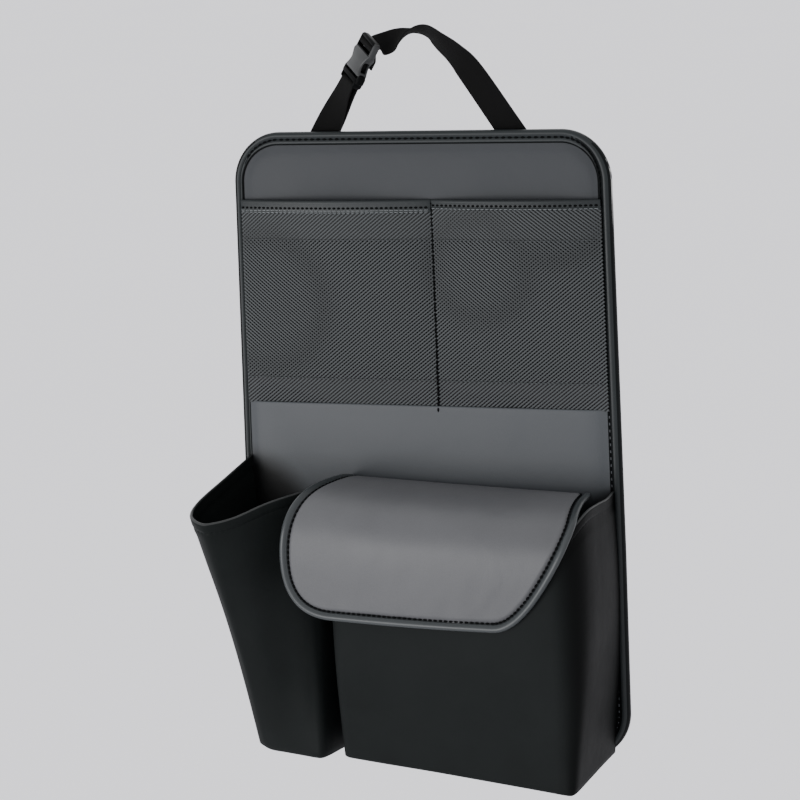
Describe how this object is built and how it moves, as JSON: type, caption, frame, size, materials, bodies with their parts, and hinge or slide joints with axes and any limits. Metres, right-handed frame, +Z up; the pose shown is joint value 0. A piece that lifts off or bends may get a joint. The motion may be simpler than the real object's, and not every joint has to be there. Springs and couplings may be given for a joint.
{
  "type": "car seat-back storage bag",
  "caption": "Seat-back storage bag on a stiff rounded panel, with mesh pockets, an open tapered cup pocket, a large pocket under a flap, and a hanging strap with a side-release buckle.",
  "frame": {"origin": "middle of the panel's flat rear face, which lies against the seat back", "axes": "+X to the right seen from the front, +Y out of the rear face towards the seat, +Z up along the panel"},
  "size_m": [0.371, 0.1655, 0.6689],
  "materials": {
    "lining": "matt black woven lining",
    "board": "plain stiff sheet, hidden inside",
    "grey_leather": "smooth grey artificial leather",
    "flap_leather": "finely grained lighter grey artificial leather",
    "black_leather": "smooth black artificial leather",
    "binding": "dark grey folded tape, stitched",
    "mesh": "fine dark grey net",
    "webbing": "black woven webbing",
    "buckle": "moulded dark grey plastic"
  },
  "bodies": {
    "bag": {"back_lining": "lining", "stiffener_board": "board", "front_cover": "grey_leather", "lower_cover": "grey_leather", "edge_binding": "binding", "mesh_pocket_left": "mesh", "mesh_pocket_right": "mesh", "mesh_trim_left": "binding", "mesh_trim_right": "binding", "cup_pocket_wall": "black_leather", "cup_pocket_mouth_band": "black_leather", "cup_pocket_foot": "black_leather", "main_pocket_wall": "black_leather", "main_pocket_mouth_band": "black_leather", "main_pocket_foot": "black_leather", "flap_cover": "flap_leather", "flap_lining": "lining", "flap_binding": "binding", "strap_short": "webbing", "strap_long": "webbing", "buckle_plug": "buckle"},
    "socket": {"buckle_socket": "buckle"}
  },
  "joints": [
    {"name": "buckle_release", "type": "slide", "parent": "bag", "child": "socket", "axis": [0.515, 0, 0.8572], "range_m": [0, 0.028], "deforming": ["strap_long", "buckle_plug"]}
  ]
}
